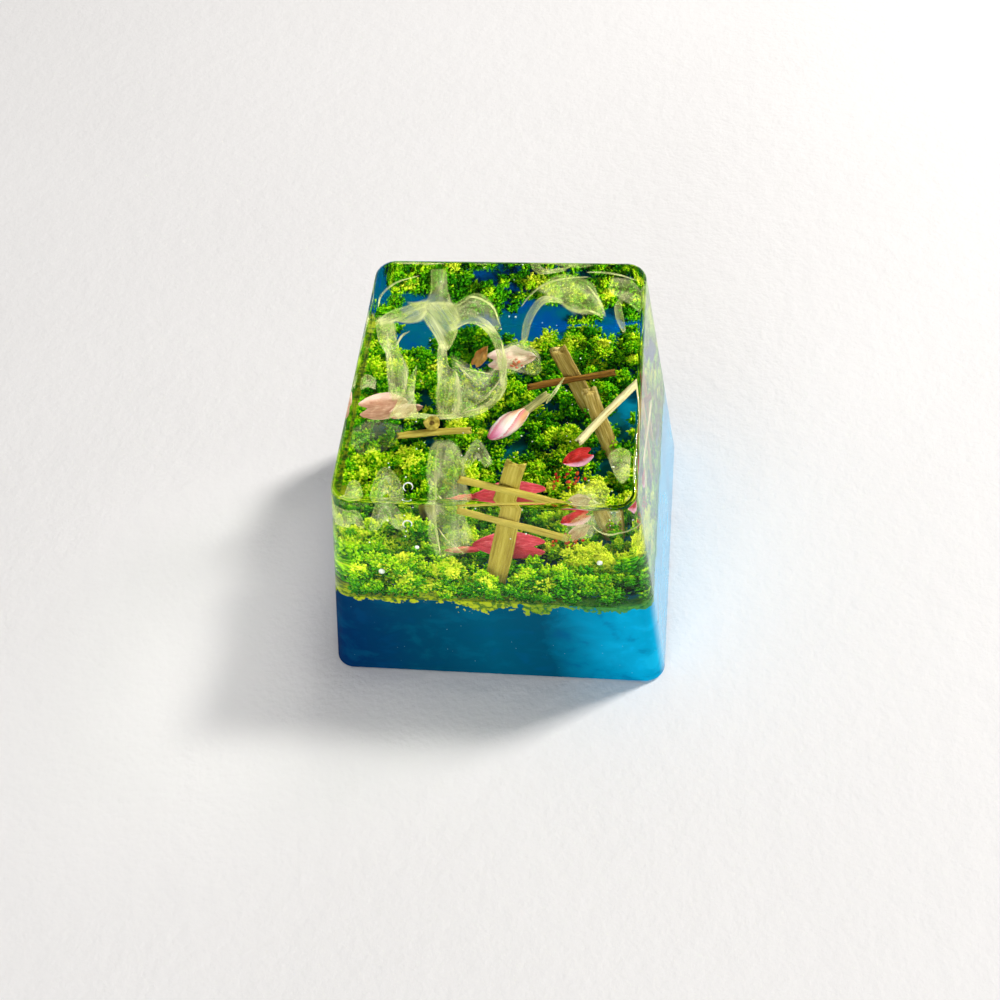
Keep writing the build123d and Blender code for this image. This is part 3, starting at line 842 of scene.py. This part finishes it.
def beads(name, spots, sizes, finish, slot):
    """Small closed balls: latitude and longitude rings between two short end rings."""
    rows, around, pole_gap = 9, 14, 0.12
    angle = round_turn(around)
    polar = np.linspace(pole_gap, np.pi - pole_gap, rows)[:, None]
    away = np.sin(polar)
    ball = joined(away * np.cos(angle), away * np.sin(angle), -np.cos(polar)).reshape(-1, 3)
    points = np.asarray(spots)[:, None] + np.asarray(sizes)[:, None, None] * ball
    shift = np.arange(len(spots))[:, None, None] * rows * around
    faces = [(part[None] + shift).reshape(-1, part.shape[1]) for part in tube_faces(rows, around)]
    lay(name, points, faces, finish, slot)


def bubble_glint_ring(name, middle, radius, tube, finish, slot):
    """A pale ring that stands in for the bright rim of a bubble, a painted highlight: a round profile
    carried most of the way round a circle that leans back, and thinner towards both ends."""
    rows, around = 30, 10
    sweep_start, sweep_end = np.radians([-40, 250])
    lean = np.radians(35)
    angle = round_turn(around)
    sweep = np.linspace(sweep_start, sweep_end, rows)[:, None]
    thick = tube * (0.35 + 0.65 * np.sin(np.linspace(0, np.pi, rows))[:, None])
    reach = radius + thick * np.cos(angle)
    away, up = reach * np.sin(sweep), -thick * np.sin(angle)
    leant = joined(reach * np.cos(sweep), away * np.cos(lean) - up * np.sin(lean),
                   away * np.sin(lean) + up * np.cos(lean))
    lay(name, middle + leant, tube_faces(rows, around), finish, slot)


def flecks(name, count, middle, spread, darkest, palest, sizes, finish, slot):
    """Loose crumbs of petal, strewn about a middle, each with its own colour and size."""
    spots = chance.normal(middle, spread, (count, 3))
    colours = chance.uniform(darkest, palest, (count, 3))
    points, triangles = crumbs(spots, chance.uniform(*sizes, count))
    tints = np.concatenate([colours, np.ones((count, 1))], axis=1)
    lay(name, points, [triangles], finish, slot, tint=np.repeat(tints, len(points) // len(tints), axis=0))


# Crosses: foot, lean to the right and back, turn, stake's width and thickness, stake's length, bar's length,
# height, shift and tilt
PLANT_DEPTH = 0.4  # how far a stake goes into the bed
BAR = (0.42, 0.4)  # width and thickness
tan_wood = wood("tan_wood", (0.62, 0.51, 0.11), (0.45, 0.36, 0.055), (0.27, 0.19, 0.025))
# Darker wood for the back cross's bar: partly its own dark brown, partly painted shade
dark_wood = wood("dark_wood", (0.36, 0.2, 0.03), (0.19, 0.085, 0.01), (0.07, 0.026, 0.003))
aged_wood = wood("aged_wood", (0.62, 0.5, 0.2), (0.34, 0.25, 0.055), (0.14, 0.085, 0.014))
# Paler wood for the right cross's bar: partly its own cream, partly painted light, as if it stood in full
# light
pale_wood = wood("pale_wood", (0.96, 0.92, 0.6), (0.88, 0.8, 0.42), (0.55, 0.42, 0.15))
stick_cross("cross_front", (0.13, -6.64), (13, 24.7), -1, (1.1, 0.5), 5.95, 5.8, 4.35, 0.3, -3.5,
            tan_wood, tan_wood, "tan_wood")
stick_cross("cross_left", (-3.98, 1.3), (7.6, -28.8), 8, (0.8, 0.8), 5.85, 3.8, 5.3, 0.1, 2.5,
            tan_wood, tan_wood, "tan_wood")
stick_cross("cross_back", (4.83, 2.19), (-23.4, 22.1), 15, (0.9, 0.5), 5.45, 4.7, 3.35, -0.1, -15.5,
            aged_wood, dark_wood, "dark_wood")
stick_cross("cross_right", (5.99, -0.41), (-14.8, 17.1), 47, (0.8, 0.5), 5.3, 4.85, 3.45, 0.45, 15,
            aged_wood, pale_wood, "pale_wood")

# Petals: middle with its height above the bed, turn, pitch, roll, length, width, depth of the cleft and,
# last, how ruffled it is
rose_petal = petal("red_petal",
                   (0.5, 0.025, 0.03), (0.7, 0.06, 0.085), (0.82, 0.17, 0.19), (0.7, 0.07, 0.11))
# Its last colour is a painted glossy highlight along one side
scarlet_petal = petal("scarlet_petal",
                      (0.4, 0.008, 0.005), (0.58, 0.018, 0.012), (0.7, 0.08, 0.08), (0.95, 0.45, 0.62))
pale_petal = petal("pale_petal",
                   (0.74, 0.26, 0.26), (0.86, 0.62, 0.52), (0.94, 0.88, 0.76), (0.92, 0.74, 0.66))
# Its last colour is a painted pale highlight along one side
blush_petal = petal("pink_petal",
                    (0.42, 0.16, 0.09), (0.54, 0.29, 0.17), (0.78, 0.5, 0.35), (0.92, 0.62, 0.48))
ochre_petal = petal("ochre_petal",
                    (0.4, 0.15, 0.02), (0.6, 0.3, 0.06), (0.74, 0.48, 0.18), (0.6, 0.24, 0.05))
curled_petal("petal_front", (0.9, -4.15, 1.6), 178, -8, 66, 3.9, 1.9, 0.7, rose_petal, "red_petal")
curled_petal("petal_right", (4.3, -2.0, 2.4), 205, 8, 25, 1.7, 1.15, 0.3, scarlet_petal, "red_petal")
curled_petal("petal_left", (-6.4, 0.8, 3.0), 12, 4, 30, 2.8, 1.8, 0.5, blush_petal, "pink_petal")
curled_petal("petal_back", (0.2, 4.5, 2.9), 8, 4, 35, 2.8, 1.6, 0.4, pale_petal, "pink_petal", 3.4)
curled_petal("petal_corner", (4.7, -5.6, 3.9), 30, 32, 60, 1.5, 0.8, 0.2, blush_petal, "pink_petal")
curled_petal("petal_front_tail", (-1.6, -4.3, 1.25), 184, -10, 62, 1.9, 0.42, 0.1, rose_petal, "red_petal")
curled_petal("petal_left_fold", (-5.1, 0.5, 3.0), 20, 2, 45, 1.9, 0.9, 0.2, blush_petal, "pink_petal")
curled_petal("orange_husk", (-1.55, 4.65, 2.8), 62, 8, 35, 1.5, 0.8, 0.15, ochre_petal, "pink_petal", 2.0)
closed_bud((-0.45, -1.1, 2.75), 47, 2)

# Moss clumps: middle, radius, height and tone, from 0, dark green, to 1, lime and yellow
CLUMP_SPRIGS = 105  # to each lump of a clump
CARPET_SPRIGS = 60
moss_finish = moss()
CLUMPS = (
    ((-6.6, -6.5), 1.2, 2.5, 0.6),
    ((-4.5, -6.9), 1.25, 2.6, 0.9),
    ((-2.4, -6.8), 1.1, 2.3, 0.9),
    ((-0.6, -7.2), 0.75, 1.6, 0.8),
    ((2.1, -6.9), 1.1, 1.8, 0.58),
    ((4.2, -6.8), 1.15, 2.1, 0.52),
    ((5.7, -7.2), 0.7, 1.8, 0.6),
    ((7.0, -6.4), 1.0, 2.6, 0.46),
    ((-6.7, -4.6), 0.9, 1.9, 0.6),
    ((-6.5, -2.5), 1.4, 2.4, 0.76),
    ((-4.4, -2.1), 1.1, 2.6, 0.72),
    ((-1.3, -2.5), 1.25, 2.0, 0.74),
    ((-2.0, 0.9), 1.2, 2.3, 0.7),
    ((2.5, -2.3), 1.2, 2.0, 0.8),
    ((5.2, -4.0), 1.35, 2.5, 1.12),
    ((6.8, -4.7), 0.8, 2.2, 1.12),
    ((7.0, -1.7), 0.9, 2.0, 0.65),
    ((3.1, -0.1), 1.15, 2.1, 0.64),
    ((-6.8, 4.9), 1.15, 2.5, 0.8),
    ((-4.8, 4.7), 1.1, 2.2, 0.55),
    ((-3.0, 3.3), 1.0, 1.9, 0.7),
    ((-2.4, 7.0), 1.1, 2.3, 0.4),
    ((0.5, 2.7), 1.15, 2.0, 0.6),
    ((1.7, 6.3), 1.25, 2.5, 0.68),
    ((4.3, 6.6), 1.35, 2.4, 0.68),
    ((5.4, 4.4), 1.15, 1.9, 0.5),
    ((6.9, 6.6), 1.0, 2.2, 0.54),
)
for number, clump in enumerate(CLUMPS, start=1):
    moss_clump(f"moss_{number}", *clump, moss_finish)

# Where the blue bed shows between the moss: middle and reach, to the side and to the back
BARE = (
    (-2.7, 8.3, 1.3, 0.9),
    (0.4, 8.3, 1.3, 0.8),
    (-5.4, 7.8, 1.2, 0.9),
    (2.3, 8.0, 0.8, 0.9),
    (5.5, 7.2, 0.9, 0.9),
    (-8.2, 4.9, 0.8, 0.4),
    (-7.4, -3.6, 1.4, 0.7),
    (6.8, 3.0, 0.8, 1.3),
    (-2.5, 5.6, 0.6, 0.6),
    (6.3, 0.6, 0.5, 0.5),
    (-0.8, -0.2, 0.5, 0.4),
    (-8.1, -8.0, 0.8, 1.2),
    (-3.5, -8.3, 0.5, 1.0),
    (5.0, -8.3, 0.7, 1.0),
    (7.8, -8.3, 1.0, 0.7),
)
moss_carpet(moss_finish)

# Veils: each film's two edges and density, then each hairline's path, half width and density
veil_finish = white_veil()
veil("veil_left", (
    (((-7.4, 6.2, 10.5), (-7.1, 4.9, 10.2), (-6.4, 3.3, 9.9), (-6.1, 1.3, 9.4)),
     ((-6.5, 6.1, 10.5), (-6.2, 4.5, 10.2), (-5.3, 2.7, 9.8), (-5.4, 1.2, 9.4)), 0.65),
    (((-4.9, 2.9, 9.9), (-5.2, 1.9, 9.6), (-5.5, 0.9, 9.3), (-5.8, -0.1, 9.1)),
     ((-4.8, 2.9, 9.9), (-4.8, 1.7, 9.6), (-4.7, 0.8, 9.3), (-4.5, 0.0, 9.1)), 0.7),
), (
    (((-6.2, 4.2, 10.1), (-5.9, 4.9, 10.5), (-5.4, 5.2, 10.8)), 0.06, 0.8),
), veil_finish)
veil("veil_back", (
    (((-5.5, 6.9, 11.5), (-4.9, 6.5, 11.1), (-4.2, 5.4, 10.7), (-3.6, 4.2, 10.2)),
     ((-3.0, 6.9, 11.5), (-3.0, 6.1, 11.1), (-3.0, 5.1, 10.7), (-3.2, 4.2, 10.2)), 1.1),
    (((-3.3, 6.4, 11.5), (-2.1, 7.1, 12.0), (-1.0, 6.6, 11.7), (-0.4, 5.4, 11.2)),
     ((-3.2, 5.7, 11.2), (-2.3, 6.1, 11.4), (-1.4, 5.8, 11.2), (-0.8, 5.1, 10.8)), 0.45),
), (
    (((-3.2, 6.5, 11.5), (-2.6, 6.8, 11.8), (-2.1, 7.1, 12.0), (-1.0, 6.6, 11.7), (-0.4, 5.4, 11.2)),
     0.06, 1.0),
), veil_finish)
veil("veil_right", (
    (((0.7, 5.3, 9.7), (0.8, 6.3, 10.3), (1.2, 7.2, 10.9), (1.8, 7.6, 11.4), (2.7, 7.4, 11.5)),
     ((1.0, 5.3, 9.7), (1.1, 6.1, 10.3), (1.5, 6.9, 10.9), (2.0, 7.2, 11.4), (2.8, 7.1, 11.4)), 0.75),
), (
    (((2.8, 7.2, 11.4), (3.2, 6.8, 11.3), (3.8, 6.6, 11.3), (4.5, 6.7, 11.3)), 0.08, 1.2),
    (((3.9, 6.7, 11.3), (4.6, 6.6, 11.2), (5.2, 6.2, 11.0)), 0.06, 0.8),
), veil_finish)
veil("veil_front", (
    (((-3.0, -2.9, 11.0), (-3.0, -4.2, 10.4), (-2.9, -5.2, 9.6), (-2.8, -5.6, 7.6)),
     ((-1.9, -2.8, 11.0), (-1.5, -4.2, 10.4), (-1.2, -5.2, 9.6), (-1.1, -5.5, 8.0)), 0.42),
), (
    (((-2.8, -2.9, 11.0), (-2.8, -4.2, 10.4), (-2.7, -5.2, 9.6), (-2.6, -5.7, 7.3)), 0.06, 1.0),
    (((-2.6, -5.4, 9.6), (-2.1, -5.5, 8.6), (-1.3, -5.5, 7.6)), 0.05, 1.0),
), veil_finish)
veil("veil_side", (
    (((6.0, -2.6, 9.8), (6.5, -2.5, 9.9), (7.0, -2.6, 9.8)),
     ((6.1, -3.2, 9.3), (6.6, -3.8, 9.2), (7.0, -3.6, 9.2)), 0.6),
), (), veil_finish)

# Thinner films and hairlines that trail from the veils
veil("veil_arm", (
    (((-4.7, 7.0, 11.6), (-5.8, 6.5, 11.4), (-6.6, 6.4, 11.1), (-7.4, 6.1, 10.6)),
     ((-4.6, 5.8, 11.3), (-5.6, 5.7, 11.1), (-6.4, 5.9, 10.8), (-6.9, 5.4, 10.5)), 0.8),
    (((-4.4, 8.0, 13.7), (-4.3, 7.5, 13.2), (-4.3, 6.9, 12.7), (-4.6, 6.2, 11.9)),
     ((-3.7, 8.0, 13.7), (-3.6, 7.5, 13.2), (-3.5, 6.9, 12.7), (-3.1, 6.2, 11.9)), 0.55),
), (
    (((-7.3, 6.2, 11.8), (-7.2, 7.0, 12.2), (-6.4, 7.6, 12.8), (-5.0, 7.9, 13.3)), 0.06, 0.8),
), veil_finish)
veil("veil_loop", (
    (((-3.1, 5.2, 11.8), (-2.2, 5.6, 11.9), (-1.1, 5.5, 11.6), (-0.4, 4.6, 11.1), (0.1, 3.2, 10.5),
      (0.1, 1.6, 9.9)),
     ((-3.1, 4.6, 11.5), (-2.2, 5.3, 11.7), (-1.3, 5.1, 11.4), (-0.7, 4.4, 10.9), (-0.3, 3.2, 10.4),
      (-0.1, 1.7, 9.9)), 0.8),
    (((0.1, 1.7, 9.9), (-0.4, 0.7, 9.5), (-1.5, 0.1, 9.3), (-3.2, -0.2, 9.2), (-4.8, -0.1, 9.2)),
     ((-0.1, 1.9, 9.9), (-0.6, 1.0, 9.5), (-1.7, 0.4, 9.3), (-3.2, 0.1, 9.2), (-4.8, 0.2, 9.2)), 0.7),
    (((-3.7, 4.3, 10.9), (-3.6, 3.1, 10.4), (-3.4, 1.8, 9.9), (-3.2, 0.1, 9.3)),
     ((-3.3, 4.2, 10.8), (-3.1, 3.0, 10.4), (-2.4, 2.2, 9.9), (-2.1, 0.1, 9.3)), 0.65),
    (((-2.8, 3.3, 10.4), (-1.6, 2.5, 10.1), (-0.7, 2.6, 10.2), (0.0, 3.4, 10.5)),
     ((-2.3, 0.5, 9.4), (-1.4, 0.3, 9.4), (-0.6, 0.9, 9.5), (0.0, 1.7, 9.8)), 0.3),
    (((-0.4, 4.6, 9.9), (0.7, 4.8, 9.9), (1.7, 4.4, 9.8)),
     ((-0.4, 3.4, 9.6), (0.8, 3.2, 9.5), (1.8, 3.2, 9.5)), 0.35),
), (
    (((-0.3, 4.6, 11.0), (0.0, 3.2, 10.4), (0.1, 1.7, 9.9), (-0.4, 0.9, 9.5), (-2.0, 0.2, 9.3)), 0.08, 1.2),
    (((-2.7, 3.2, 10.4), (-2.1, 2.6, 10.1), (-1.3, 1.9, 9.9)), 0.05, 1.0),
    (((-2.1, 0.3, 9.3), (-0.9, 1.1, 9.6), (-0.1, 2.3, 10.0)), 0.06, 1.0),
    (((-2.7, 3.1, 10.3), (-1.7, 2.7, 10.2), (-0.5, 2.5, 10.1)), 0.04, 0.9),
), veil_finish)
veil("veil_crest", (
    (((1.6, 7.3, 12.8), (2.8, 7.8, 13.2), (4.2, 7.5, 13.0), (4.9, 6.7, 12.7), (5.3, 5.8, 12.2)),
     ((2.4, 6.7, 12.4), (3.1, 6.4, 12.4), (3.8, 6.0, 12.3), (4.5, 5.9, 12.3), (5.1, 5.7, 12.2)), 0.45),
    (((6.4, 7.2, 12.6), (6.1, 6.6, 12.2), (6.2, 5.9, 11.8), (6.4, 5.3, 11.2)),
     ((6.1, 7.0, 12.6), (5.8, 6.5, 12.2), (5.9, 5.8, 11.8), (6.2, 5.2, 11.2)), 0.6),
    (((5.6, 7.7, 13.5), (6.5, 7.6, 13.3), (7.1, 7.1, 13.0)),
     ((5.5, 7.0, 13.0), (6.4, 6.6, 12.6), (7.2, 6.1, 12.2)), 0.3),
), (
    (((0.6, 6.4, 11.8), (1.0, 7.0, 12.2), (1.6, 7.4, 12.8), (2.5, 7.7, 13.2), (3.5, 7.8, 13.4),
      (4.4, 7.8, 13.5)), 0.06, 0.9),
    (((4.1, 7.9, 13.9), (5.0, 7.9, 13.9), (5.9, 7.8, 13.8), (7.0, 7.6, 13.4)), 0.06, 0.7),
    (((4.2, 7.5, 13.0), (4.8, 6.7, 12.7), (5.3, 5.8, 12.2)), 0.05, 0.9),
    (((2.4, 0.8, 9.6), (2.8, 1.5, 9.8), (3.3, 2.5, 10.0)), 0.08, 0.8),
), veil_finish)
veil("veil_mounds", (
    (((-7.3, -6.0, 9.9), (-7.1, -5.4, 10.4), (-6.6, -5.4, 10.4), (-6.3, -6.0, 9.9)),
     ((-7.1, -6.1, 9.8), (-7.0, -5.9, 10.0), (-6.7, -5.9, 10.0), (-6.5, -6.1, 9.8)), 0.5),
    (((-6.0, -6.1, 9.9), (-5.6, -5.0, 10.8), (-5.1, -4.8, 10.9), (-4.5, -5.3, 10.5), (-4.2, -6.1, 9.9)),
     ((-5.6, -6.2, 9.8), (-5.3, -5.8, 10.1), (-5.1, -5.7, 10.2), (-4.9, -5.8, 10.1), (-4.6, -6.2, 9.8)),
     0.4),
    (((-1.5, -3.6, 10.3), (-0.8, -2.6, 10.9), (0.0, -3.5, 10.3)),
     ((-1.2, -3.9, 10.1), (-0.7, -3.4, 10.4), (-0.3, -3.8, 10.1)), 0.35),
    (((-7.7, 1.8, 10.2), (-7.4, 2.1, 10.2), (-6.9, 1.9, 10.2)),
     ((-7.6, 1.3, 10.0), (-7.3, 1.5, 10.0), (-6.8, 1.3, 10.0)), 0.4),
    (((-7.6, -1.2, 9.6), (-6.5, -0.8, 9.6), (-5.1, -1.0, 9.5)),
     ((-7.5, -2.4, 9.3), (-6.3, -2.5, 9.3), (-5.4, -2.0, 9.3)), 0.08),
), (), veil_finish)
veil("veil_corner", (
    (((4.8, -5.3, 10.8), (5.5, -5.2, 11.0), (6.1, -5.5, 10.8)),
     ((4.3, -6.1, 10.4), (5.0, -6.3, 10.3), (5.8, -6.2, 10.3)), 0.16),
    (((4.0, -5.9, 9.4), (4.5, -5.8, 10.6), (5.1, -5.8, 11.2)),
     ((5.3, -6.0, 9.6), (5.4, -5.9, 10.3), (5.5, -5.8, 11.0)), 0.35),
), (
    (((5.3, -5.9, 10.9), (5.5, -5.9, 10.2), (6.2, -5.9, 9.8), (6.9, -5.9, 10.2), (7.2, -5.8, 11.2)),
     0.07, 1.0),
), veil_finish)

# Bubbles, painted as pale beads and a ring that stand in for their glints, and loose crumbs of petal
bubble_glint_finish = bubble()
beads("trapped_bubble_glints", ((-5.6, -7.5, 7.4), (-3.8, -5.6, 8.1), (5.7, -6.6, 8.1), (6.3, -7.6, 6.6)),
      (0.18, 0.13, 0.16, 0.08), bubble_glint_finish, "white_veil")
bubble_glint_ring("bubble_rim_glint", np.array([-4.2, -4.9, 9.4]), 0.24, 0.045, bubble_glint_finish, "white_veil")
# Painted glints: tiny pale beads that stand in for sparkles in the resin
PINHOLES = 60
pinhole_spots = chance.uniform((-6.4, -6.0, 8.2), (6.4, 7.2, 11.6), (PINHOLES, 3))
pinhole_sizes = chance.uniform(0.025, 0.055, PINHOLES)
beads("pinhole_bubble_glints", pinhole_spots, pinhole_sizes, bubble_glint_finish, "white_veil")
flecks("petal_crumbs", 24, (3.7, -2.85, 7.15), (0.5, 0.3, 0.15), (0.4, 0.02, 0.01), (0.7, 0.16, 0.04),
       (0.06, 0.12), moss_finish, "red_petal")
flecks("petal_spots", 9, (0.55, 4.05, 8.95), (0.16, 0.1, 0.06), (0.5, 0.03, 0.04), (0.75, 0.12, 0.14),
       (0.08, 0.16), moss_finish, "red_petal")

clear_block()
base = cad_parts["blue_base"]
base.data.materials.clear()
base.data.materials.append(blue_resin())

# Floor
HALF_FLOOR = 0.6  # metres
floor_corners = [(HALF_FLOOR * x, HALF_FLOOR * y, 0) for x, y in ((-1, -1), (1, -1), (1, 1), (-1, 1))]
floor_mesh = bpy.data.meshes.new("paper")
floor_mesh.from_pydata(floor_corners, [], [(0, 1, 2, 3)])
floor_mesh.materials.append(pale_floor())
floor = bpy.data.objects.new("paper", floor_mesh)
bpy.context.scene.collection.objects.link(floor)


def lamp(name, azimuth, elevation, size, power, colour):
    """A soft square lamp that faces the cap from the given bearing and height in degrees."""
    distance = 0.34
    aim = Vector((0, 0, 0.006))
    data = bpy.data.lights.new(name, "AREA")
    data.size = size
    data.energy = power
    data.color = colour
    way = Vector(pointing(azimuth, elevation))
    thing = bpy.data.objects.new(name, data)
    thing.location = way * distance + aim
    thing.rotation_euler = way.to_track_quat("Z", "Y").to_euler()
    bpy.context.scene.collection.objects.link(thing)
    return thing


lamp("key", azimuth=34, elevation=36, size=0.06, power=1.18, colour=(1.0, 0.97, 0.93))
fill = lamp("fill", azimuth=255, elevation=14, size=0.16, power=0.58, colour=(0.96, 0.98, 1.0))
fill.visible_glossy = False


def studio():
    """Even light from all round. The room that the camera, the resin's gloss and the clear resin show is
    white, but gloss finds it dim overhead."""
    room = Finish("studio", bpy.data.worlds)
    camera_ray = room.node("LightPath", output="Is Camera Ray")
    more = "Is Glossy Ray", "Is Transmission Ray", "Diffuse Depth"
    gloss, through, bounces = room.outputs(camera_ray, *more)
    _, _, height = room.parts(room.node("TexCoord", output="Generated"))
    overhead = room.fade(height, 0.3, 0.75)
    light, white = 0.32, 0.68  # what lights the cap, and what makes the room that shows white
    shown = room.fade(bounces, 1.0, 0.0) * (through * white + gloss * (white - 0.92 * overhead))
    strength = light + white * camera_ray + shown
    wall = room.node("Background", sockets={"Color": (1, 1, 1), "Strength": strength})
    return room.done(wall, "OutputWorld")


bpy.context.scene.world = studio()

# Camera, turned a little about its own line of sight
eye = np.array([10.07, -52.3, 66.57]) * MM
bearing, height, roll = np.radians([11.46, 49.49, -6.84])
behind = np.array([np.sin(bearing) * np.cos(height), -np.cos(bearing) * np.cos(height), np.sin(height)])
level_right = np.array([np.cos(bearing), np.sin(bearing), 0])
level_up = np.cross(behind, level_right)
right_hand = np.cos(roll) * level_right + np.sin(roll) * level_up
upward = np.cross(behind, right_hand)
axes = Matrix(np.stack([right_hand, upward, behind], axis=1).tolist())
camera_data = bpy.data.cameras.new("camera")
camera_data.lens = 52.16
camera_data.sensor_width = 36
camera_data.clip_start = 0.005
camera_data.clip_end = 10
camera = bpy.data.objects.new("camera", camera_data)
camera.matrix_world = Matrix.Translation(eye) @ axes.to_4x4()
bpy.context.scene.collection.objects.link(camera)
bpy.context.scene.camera = camera
bpy.context.scene.view_settings.view_transform = "Standard"
